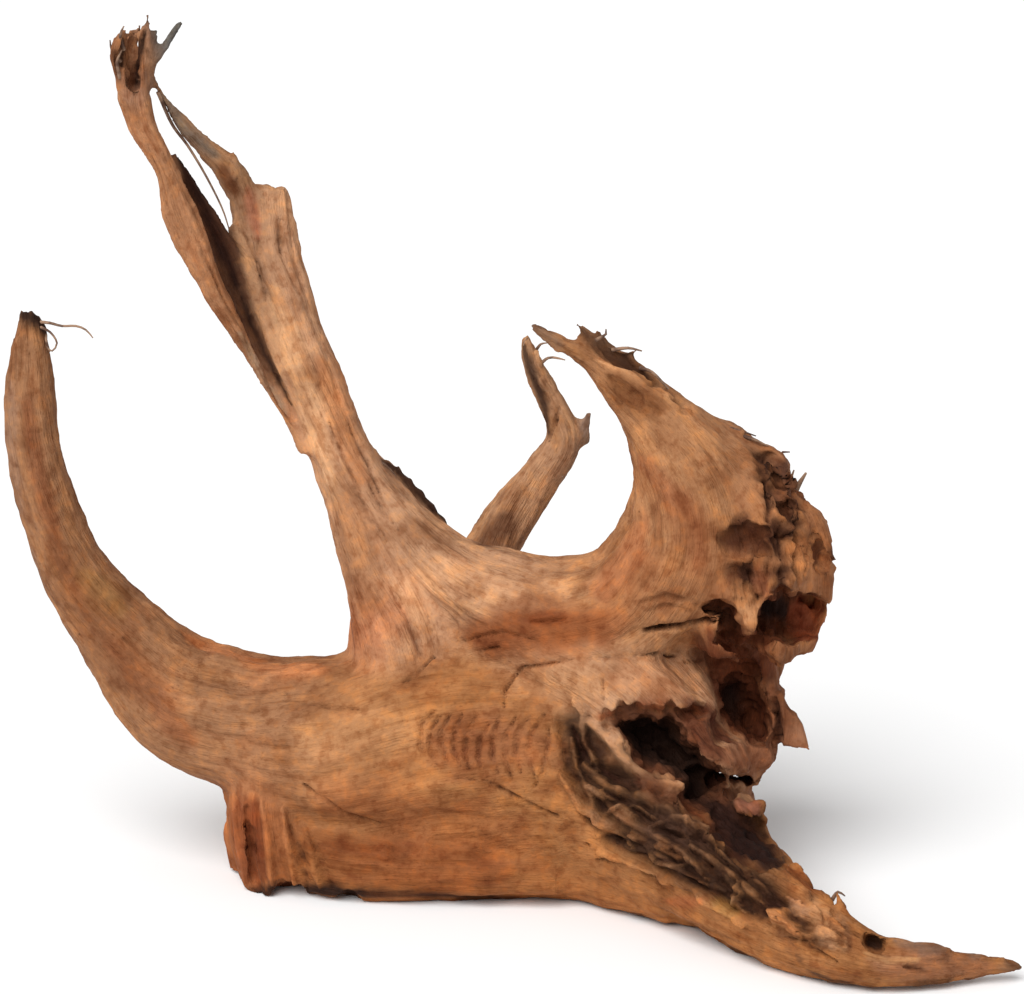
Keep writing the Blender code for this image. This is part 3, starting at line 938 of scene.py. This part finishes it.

# Colour. Weathered wood is bleached on worn ridges, red-brown in its grain and dark where it is rotten; the
# colour also holds painted shade and a few painted highlights. Tones are sRGB, 0 to 255. A stain row is a
# tone, a strength, a half width and pixels.
LIMB_TONES = {
    "horn": (150, 106, 74),
    "mast": (184, 138, 105),
    "flare": (170, 128, 97),
    "crown": (160, 113, 77),
    "crest": (150, 108, 78),
    "shoulder": (150, 100, 66),
    "wall": (126, 80, 54),
    "trunk": (152, 101, 60),
    "sole": (140, 88, 49),
    "heel": (150, 92, 56),
    "back_root": (176, 132, 98),
    "back_stub": (150, 116, 96),
    "blade": (176, 124, 88),
    # The split face's near-black tone is painted shade inside the split between blade and mast, over brown
    # wood.
    "split_face": (56, 26, 14),
    "fin": (158, 118, 88),
    "twig": (104, 102, 99),
}
# 725,835), in the gaps at the knob (145,34 and 123,40), along the flange's upper edge (384,462)
# Not all rows are stains. Painted highlights: the trunk's upper left (310,745) and the tail (815,905).
# Painted light on the mast's left edge, where its rounded side lies in shade (236,218).
# Painted shade in the split between blade and mast (177,154 and 240,292), under the shelf (716,808 and
# Painted shade on the lower trunk (330,800 and 330,850), and painted shadow along the lower edges of
# and beside the flake (776,700).
# trunk, stump and tail where they meet the floor (250,889, 250,893 and 806,970).
STAINS_AND_PAINTED_LIGHT = """
196,144,100 0.3 13 310,745 360,730 410,735
182,130,88 0.5 9 520,685 560,685 600,685
186,132,94 0.6 9 620,680 700,680
150,84,44 0.6 10 480,640 540,632 620,620
104,40,16 0.9 3 529,621 566,618
164,92,54 0.45 9 600,590 625,565 640,530
172,96,54 0.5 14 330,640 380,620
204,152,112 0.5 10 400,585 470,575 560,590
214,164,120 0.5 6 275,290 295,360 315,430 335,500
176,108,60 0.5 5 320,360 345,430 362,480
116,60,30 0.5 12 330,850 420,870 500,875
140,78,42 0.4 16 330,800 420,820 520,840
104,48,24 0.6 9 240,810 255,870
96,42,18 0.7 3 255,800 262,880
60,32,18 0.8 2.5 250,889 400,894 560,900 640,915 760,960
130,76,46 0.6 3.5 28,400 38,480 60,560 90,620
150,118,98 0.5 3.5 10,380 10,440 20,520 45,590
46,28,20 0.95 4 24,314 38,320 48,334 48,346
160,118,62 0.4 6 85,575 120,610
128,70,40 0.5 7 110,640 150,690 190,740
198,118,68 0.4 7 190,640 260,665 320,670
132,80,52 0.6 13 440,740 490,745 540,745
122,60,30 0.5 5 640,460 690,520 700,570
98,58,38 0.7 7 735,540 760,535
88,52,34 0.7 5 780,465 785,505
206,138,88 0.6 7 790,550 820,560
206,150,104 0.6 5 745,590 751,615
120,66,26 0.7 4 612,380 640,398 660,412
206,150,104 0.6 2.5 599,360 640,378 685,408
96,70,54 0.5 3 580,330 640,360 680,390 748,432
112,92,80 0.6 3 531,325 560,345
56,38,30 0.9 2.6 524,346 529,366 538,388 545,410 548,432
84,48,28 0.8 8 484,545 508,522
124,104,92 0.7 3 585,412 587,450
160,80,48 0.35 2.6 668,902 700,902
164,124,64 0.35 4 716,902 734,912
176,112,60 0.5 7 820,905 840,930
132,88,66 0.65 7 880,966 940,964 985,968
54,32,22 0.75 2 806,970 830,980 867,987 904,988 940,983 985,978
112,90,78 0.65 2.6 896,941 925,948 951,946 978,956
190,142,108 0.5 2.6 792,900 806,912
176,112,78 0.5 4 758,572 766,592
186,140,106 0.45 3 820,932 832,944
84,50,32 0.7 2 833,909 846,926 850,948
88,54,36 0.6 2.6 778,932 792,946 800,960
92,56,38 0.55 2.2 806,890 816,902
196,150,104 0.5 1.8 866,953 889,960 917,960
70,42,28 0.6 1.8 906,965 922,970
60,38,26 0.6 9 650,822 690,850 715,872
90,47,30 0.8 6 688,702 702,720 716,740
112,66,45 0.6 4.5 724,756 744,760 764,764
112,70,44 0.4 10 70,590 100,640 140,690
116,92,76 0.5 3 1006,966 1019,969
96,44,18 0.7 4 790,870 815,890
130,118,106 0.7 3 160,95 185,130 215,155
110,62,32 0.8 3.5 222,170 236,192
150,112,92 0.5 4.5 122,74 134,96 146,76
40,20,12 0.9 2.2 145,34 139,56 137,86
44,22,13 0.95 3.6 384,462 400,472 416,488 432,506 448,524
176,116,82 0.7 3 772,680 775,740
122,70,56 0.75 4 740,800 755,812
78,38,20 0.85 9 728,640 760,652 772,672
90,50,30 0.7 6 700,640 712,670
84,44,26 0.7 5 640,780 690,800
58,30,20 0.8 7 725,835 760,860
70,46,34 0.6 8 650,830 700,835
84,40,20 0.85 8 716,640 740,660 770,665
120,70,44 0.7 3.5 760,650 776,668
126,68,40 0.8 4 602,716 640,704 704,712
108,66,44 0.8 4 684,728 700,745 716,758
40,21,15 0.92 11 716,808 745,840 772,862
124,72,56 0.6 3 738,806 756,806
164,114,84 0.8 7 786,704 800,745
184,138,102 0.7 3 236,218 248,262 258,302 270,340 284,376
40,18,10 0.92 2.6 177,154 190,180 204,207 217,236 229,264 237,288
146,100,68 0.7 12 345,500 355,560 368,605
138,86,52 0.55 14 620,600 690,575 700,520
196,146,104 0.5 5 815,905 842,945
60,30,20 0.8 3 776,700 780,750
96,56,36 0.5 8 780,640 786,660
130,82,56 0.85 8 722,756 768,757
72,38,20 0.9 6 724,540 745,532 766,545
124,78,48 0.5 9 52,540 90,610 150,690
120,66,34 0.8 10 470,635 520,630 600,625
126,82,50 0.75 6.5 612,380 634,394 655,410
96,56,36 0.7 6 700,640 708,670
120,76,54 0.6 4 700,745 690,725
40,20,12 0.9 1.5 240,292 252,326 266,354 280,382 291,404
150,132,114 0.55 2.2 240,334 254,358 270,388 286,414
178,84,60 0.35 2.6 247,190 254,214 258,236
104,54,30 0.7 3 246,800 252,840 258,884
40,22,14 0.9 4 250,893 300,890 360,893
44,22,12 0.9 1.6 123,40 121,66
84,50,34 0.7 2 113,52 117,76
88,46,27 0.85 5.5 688,714 700,736 716,751
96,50,30 0.85 4 710,632 713,652 718,692
86,45,29 0.85 5.5 708,706 716,726 728,742
112,66,38 0.6 5 394,848 402,856
72,46,36 0.8 1.8 788,456 784,478
90,54,36 0.5 5 778,470 784,500
"""
# Marks on the rotten wood itself, in the hollows: painted shade in the tail hole, under the shelf and at
# the overhang's inner left, and painted light on the overhang's shaded inside, over its red-brown.
INSIDE_STAINS_AND_PAINTED_LIGHT = """
34,18,12 0.9 3.5 870,941 880,946
38,18,11 0.92 9 722,822 745,842 768,860
166,86,56 0.75 8 796,608 812,618 806,636
30,15,10 0.85 4.5 768,610 778,604 784,616
150,100,76 0.5 3 736,804 754,806
"""
# Gnarled and barked wood: first the near-black of the low places between ropes and flakes, painted shade
# with some dark rotten wood, then the raised wood's own tone
GNARLED_PIT_SHADE_AND_TONE = ((26, 15, 10), (119, 86, 62))
BARKED_PIT_SHADE_AND_TONE = ((54, 30, 19), (168, 112, 70))
# Painted shade for cracks and dips, the rotten wood's own tone, and painted shade deep in the hollows
GROOVE_SHADE_TONE = (56, 28, 16)
ROTTEN_TONE = (80, 35, 16)
DEEP_SHADE_TONE = (22, 11, 7)
# Size of the lumps along the grain that make the edges of stains, painted shade and painted highlights
# uneven
MARK_EDGE_LUMPS = (12.0, 4.0, 4.0)


def linear(tone):
    """An sRGB tone as the linear values that shaders use."""
    full = np.array(tone) / 255.0
    return np.where(full <= 0.04045, full / 12.92, ((full + 0.055) / 1.055) ** 2.4)


def smooth_rise(values, low, high):
    """0 below low, 1 above high, and a smooth rise between."""
    part = np.clip((values - low) / (high - low), 0.0, 1.0)
    return part * part * (3.0 - 2.0 * part)


def stored_values(name):
    """The values of a stored attribute, one a vertex."""
    values = np.empty(len(root.data.vertices), dtype=np.float32)
    root.data.attributes[name].data.foreach_get("value", values)
    return values


def tint(tone, strength, colour):
    """The tone mixed towards a colour by each point's strength."""
    return tone + (linear(colour) - tone) * strength[:, None]


# From here on_form finds the finished wood.
whole_form = form_of(root.data)
points = vertex_values(root.data, "co")
share, place = grain_of(points)[:2]
wobble = 0.5 * along_grain(MARK_EDGE_LUMPS, 31, share, place)
tone = share.T @ np.array([linear(LIMB_TONES[name]) for name in LIMBS])
relief = stored_values("relief")
crack = stored_values("crack")
hollow = stored_values("hollow") + 1.2 * wobble
raised = smooth_rise(relief, -3.0, 2.0)
# Low gnarled and barked wood takes painted shade, raised wood its own tone.
for name, (dark, light) in (("gnarled", GNARLED_PIT_SHADE_AND_TONE), ("barked", BARKED_PIT_SHADE_AND_TONE)):
    held = stored_values(name)
    tone = tint(tone, 0.9 * held * raised, light)
    tone = tint(tone, 0.9 * held * (1.0 - raised), dark)
# Deep places are darker, the more so from the first depth in mm to the second: painted shade in cracks,
# dips and deep in the hollows, and the rotten wood's own red-brown just inside the hollows.
DEPTHS = [
    (-crack, 0.6, 3.5, 0.8, GROOVE_SHADE_TONE),
    (-relief, 1.5, 5.0, 0.35, GROOVE_SHADE_TONE),
    (hollow, 3.0, 7.0, 0.85, ROTTEN_TONE),
    (hollow, 9.0, 22.0, 0.9, DEEP_SHADE_TONE),
]
for depth, start, full, strength, colour in DEPTHS:
    tone = tint(tone, strength * smooth_rise(depth, start, full), colour)
# Inside the rotten wood a row of the outer table, stain, painted shade and painted highlight alike, only
# darkens.
rotten = (hollow > 5.0)[:, None]
for colour, strength, half_width, *pixels in rows(STAINS_AND_PAINTED_LIGHT):
    marked_tone = tint(tone, strength * marked(points, wobble, half_width, pixels), colour)
    tone = np.where(rotten, np.minimum(marked_tone, tone), marked_tone)
for colour, strength, half_width, *pixels in rows(INSIDE_STAINS_AND_PAINTED_LIGHT):
    tone = tint(tone, strength * marked(points, wobble, half_width, pixels), colour)
tone = tone * (1.0 + 0.25 * smooth_rise(relief, 0.2, 2.5))[:, None]
store("tone", "FLOAT_COLOR", "POINT", "color", np.column_stack((tone, np.ones(len(tone)))))

# Each face follows the grain of its two nearest limbs, and its corners say how much of each.
corners = np.empty(len(root.data.loops), dtype=np.int32)
root.data.loops.foreach_get("vertex_index", corners)
totals = np.empty(len(root.data.polygons), dtype=np.int32)
root.data.polygons.foreach_get("loop_total", totals)
face_of_corner = np.repeat(np.arange(len(totals)), totals)
face_share = np.array([
    np.bincount(face_of_corner, weights=limb_share[corners], minlength=len(totals))
    for limb_share in share
])
ranked = np.argsort(-face_share, axis=0)[:2]
first, second = ranked[0][face_of_corner], ranked[1][face_of_corner]
for name, limb in (("grain_a", first), ("grain_b", second)):
    store(name, "FLOAT_VECTOR", "CORNER", "vector", place[limb, corners])
both = share[first, corners] + share[second, corners]
store("grain_mix", "FLOAT", "CORNER", "value", share[second, corners] / both)


class Shader:
    """Adds nodes to a tree and joins them, so that a material reads from its inputs to its output."""

    def __init__(self, tree):
        self.tree = tree

    def add(self, kind, settings=None, **inputs):
        """A node. An input is named by its place, such as _0, or by its name."""
        node = self.tree.nodes.new(kind)
        for name, value in (settings or {}).items():
            setattr(node, name, value)
        for name, value in inputs.items():
            key = int(name[1:]) if name[1:].isdigit() else name
            if isinstance(value, bpy.types.NodeSocket):
                self.tree.links.new(value, node.inputs[key])
            else:
                node.inputs[key].default_value = value
        return node

    def attribute(self, name, output):
        return self.add("ShaderNodeAttribute", {"attribute_name": name}).outputs[output]

    def math(self, operation, a, b):
        return self.add("ShaderNodeMath", {"operation": operation}, _0=a, _1=b).outputs[0]

    def blend(self, factor, a, b):
        return self.add("ShaderNodeMix", {"data_type": "FLOAT"}, _0=factor, _2=a, _3=b).outputs[0]

    def colour(self, factor, a, b, kind="MIX"):
        settings = {"data_type": "RGBA", "blend_type": kind}
        return self.add("ShaderNodeMix", settings, _0=factor, _6=a, _7=b).outputs[2]

    def remap(self, value, low, high, out_low=0.0, out_high=1.0):
        if low > high:
            low, high, out_low, out_high = high, low, out_high, out_low
        node = self.add("ShaderNodeMapRange", {"interpolation_type": "SMOOTHSTEP"}, _0=value)
        for socket, number in zip(node.inputs[1:5], (low, high, out_low, out_high)):
            socket.default_value = number
        return node.outputs[0]

    def noise(self, vector, sizes, detail, roughness=0.55):
        divide = {"operation": "DIVIDE"}
        scaled = self.add("ShaderNodeVectorMath", divide, _0=vector, _1=sizes).outputs[0]
        settings = {"Detail": detail, "Roughness": roughness, "Scale": 1.0}
        return self.add("ShaderNodeTexNoise", None, Vector=scaled, **settings).outputs[0]


fibres = bpy.data.node_groups.new("wood_fibres", "ShaderNodeTree")
fibres.interface.new_socket("Grain", in_out="INPUT", socket_type="NodeSocketVector")
for name in ("Blotch", "Streak", "Fibre", "Pores"):
    fibres.interface.new_socket(name, in_out="OUTPUT", socket_type="NodeSocketFloat")
shader = Shader(fibres)
grain = shader.add("NodeGroupInput").outputs[0]
shader.add(
    "NodeGroupOutput", None,
    _0=shader.noise(grain, (26.0, 8.0, 8.0), 4.0),
    _1=shader.noise(grain, (34.0, 2.2, 2.2), 4.0),
    _2=shader.noise(grain, (10.0, 0.55, 0.55), 3.0),
    _3=shader.noise(grain, (2.4, 0.8, 0.8), 2.0),
)

wood = bpy.data.materials.new("weathered_wood")
wood.use_nodes = True
shader = Shader(wood.node_tree)
surface = wood.node_tree.nodes["Principled BSDF"].inputs
mix = shader.attribute("grain_mix", "Fac")
sets = [
    shader.add("ShaderNodeGroup", {"node_tree": fibres}, _0=shader.attribute(name, "Vector")).outputs
    for name in ("grain_a", "grain_b")
]
blotch, streak, fibre, pores = (shader.blend(mix, a, b) for a, b in zip(*sets))
on_object = shader.add("ShaderNodeTexCoord").outputs["Object"]
cloud = shader.noise(on_object, (0.020, 0.020, 0.020), 4.0, 0.6)
patch = shader.noise(on_object, (0.0055, 0.0055, 0.0055), 4.0, 0.6)
colour = shader.attribute("tone", "Color")
# Each shade multiplies the colour where its noise passes from the first value to the second.
SHADES = [
    (cloud, 0.50, 0.66, (1.22, 1.20, 1.16)),
    (cloud, 0.50, 0.34, (0.76, 0.69, 0.63)),
    (patch, 0.50, 0.66, (1.20, 1.12, 0.98)),
    (patch, 0.50, 0.32, (0.78, 0.68, 0.60)),
    (blotch, 0.50, 0.66, (1.16, 1.12, 1.02)),
    (blotch, 0.50, 0.34, (0.84, 0.75, 0.68)),
    (streak, 0.50, 0.72, (1.14, 1.14, 1.14)),
    (streak, 0.48, 0.26, (0.72, 0.65, 0.60)),
    (fibre, 0.48, 0.26, (0.80, 0.76, 0.72)),
    (pores, 0.42, 0.22, (0.74, 0.68, 0.64)),
]
for source, start, full, shade in SHADES:
    colour = shader.colour(shader.remap(source, start, full), colour, (*shade, 1.0), "MULTIPLY")
wood.node_tree.links.new(colour, surface["Base Color"])
smoother = shader.remap(streak, 0.3, 0.7, 0.92, 0.66)
wood.node_tree.links.new(
    shader.math("ADD", smoother, shader.math("MULTIPLY", cloud, 0.1)), surface["Roughness"]
)
height = shader.math("ADD", shader.math("MULTIPLY", streak, 1.2), shader.math("MULTIPLY", fibre, 0.7))
height = shader.math("ADD", height, shader.math("MULTIPLY", pores, 0.35))
bump = shader.add("ShaderNodeBump", None, Strength=0.9, Distance=0.0009, Height=height)
wood.node_tree.links.new(bump.outputs[0], surface["Normal"])
surface["Specular IOR Level"].default_value = 0.15


def into_frame(piece, material):
    """Takes a piece from millimetres and the stations' coordinates to the frame, with its material."""
    piece.data.transform(Matrix.Scale(MM, 4) @ Matrix.Translation(-MIDDLE))
    for polygon in piece.data.polygons:
        polygon.use_smooth = True
    piece.data.materials.append(material)


into_frame(root, wood)
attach(root, "root")
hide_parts("mangrove_root")

# Wisps. Torn fibres and thin twigs still hang on the broken ends, of the same wood. Each is a row
# like a splinter's and starts inside the wood.
WISPS = """
40,322,1,0.7 50,323,-1,0.6 62,326,-4,0.5 76,326,-6,0.5 86,330,-7,0.4 93,338,-8,0.25
38,326,1,0.6 50,332,-3,0.5 57,343,-5,0.4 52,351,-6,0.4 46,346,-5,0.2
44,328,3,0.7 46,340,0,0.6 50,352,-2,0.25
24,322,2,0.6 22,312,2,0.3
538,366,68,0.9 548,358,64,0.6 557,358,61,0.5 565,360,58,0.25
536,350,70,0.8 541,344,66,0.5 547,343,63,0.25
530,352,70,0.7 524,345,70,0.5 527,338,70,0.25
121,62,-5,0.8 112,52,-6,0.5 110,40,-7,0.25
124,50,-4,0.8 120,36,-6,0.6 124,26,-6,0.25
120,78,-7,0.8 117,62,-9,0.6 122,50,-9,0.25
158,92,5,0.9 172,124,10,0.7 188,146,12,0.6 206,176,15,0.5 222,208,19,0.4 230,232,20,0.25
200,140,16,0.8 220,150,18,0.6 232,158,18,0.5 240,166,19,0.25
612,350,-6,0.9 628,348,-8,0.6 642,351,-9,0.3
596,340,-8,0.8 606,334,-10,0.5 606,329,-10,0.25
640,368,-6,0.9 652,372,-9,0.6 664,384,-9,0.5 676,398,-8,0.25
694,414,-4,0.9 716,424,-6,0.7 738,430,-6,0.5 756,436,-5,0.25
730,434,-4,0.9 750,438,-7,0.7 768,446,-7,0.3
789,506,0,1.7 794,494,-1,1.4 799,484,-3,1.1 806,473,-5,0.5
792,492,-2,1 791,480,-4,0.7 794,470,-5,0.3
776,462,1,0.8 783,452,-1,0.5 790,452,-1,0.25
744,590,-28,0.9 748,610,-34,0.7 746,626,-35,0.3
832,900,-108,0.9 838,892,-110,0.6 845,896,-110,0.25
372,462,20,0.8 384,464,18,0.5 396,476,18,0.25
"""
wisps = add_object("wisps", splinters("wisps", WISPS))
fibre_wood = bpy.data.materials.new("torn_fibre")
fibre_wood.use_nodes = True
shader = Shader(fibre_wood.node_tree)
surface = fibre_wood.node_tree.nodes["Principled BSDF"].inputs
on_object = shader.add("ShaderNodeTexCoord").outputs["Object"]
shade = shader.remap(shader.noise(on_object, (0.006, 0.006, 0.006), 3.0), 0.35, 0.65)
dark, bleached = ((*linear(tone), 1.0) for tone in ((78, 52, 38), (150, 118, 94)))
fibre_wood.node_tree.links.new(shader.colour(shade, dark, bleached), surface["Base Color"])
surface["Roughness"].default_value = 0.85
into_frame(wisps, fibre_wood)
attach(wisps, "root")

# Floor and light. A sheet of white paper under a large soft lamp, as in a product photograph.
PAPER_SIZE = 14.0
# Just under the wood's flat underside
PAPER_LEVEL = -0.0003
bpy.ops.mesh.primitive_plane_add(size=PAPER_SIZE, location=(0.0, 0.0, PAPER_LEVEL))
floor = bpy.context.object
floor.name = "floor"
paper = bpy.data.materials.new("white_paper")
paper.use_nodes = True
surface = paper.node_tree.nodes["Principled BSDF"].inputs
surface["Base Color"].default_value = (0.9, 0.9, 0.9, 1.0)
surface["Roughness"].default_value = 0.95
surface["Specular IOR Level"].default_value = 0.1
floor.data.materials.append(paper)

world = bpy.data.worlds.new("studio")
world.use_nodes = True
background = world.node_tree.nodes["Background"].inputs
background["Color"].default_value = (1.0, 1.0, 1.0, 1.0)
background["Strength"].default_value = 0.45
bpy.context.scene.world = world
bpy.context.scene.view_settings.view_transform = "Standard"

lamp_data = bpy.data.lights.new("soft_key", "SUN")
lamp_data.energy = 3.2
lamp_data.angle = math.radians(50.0)
lamp = add_object("soft_key", lamp_data)
lamp.rotation_euler = Vector((0.45, 0.75, -1.0)).to_track_quat("-Z", "Y").to_euler()
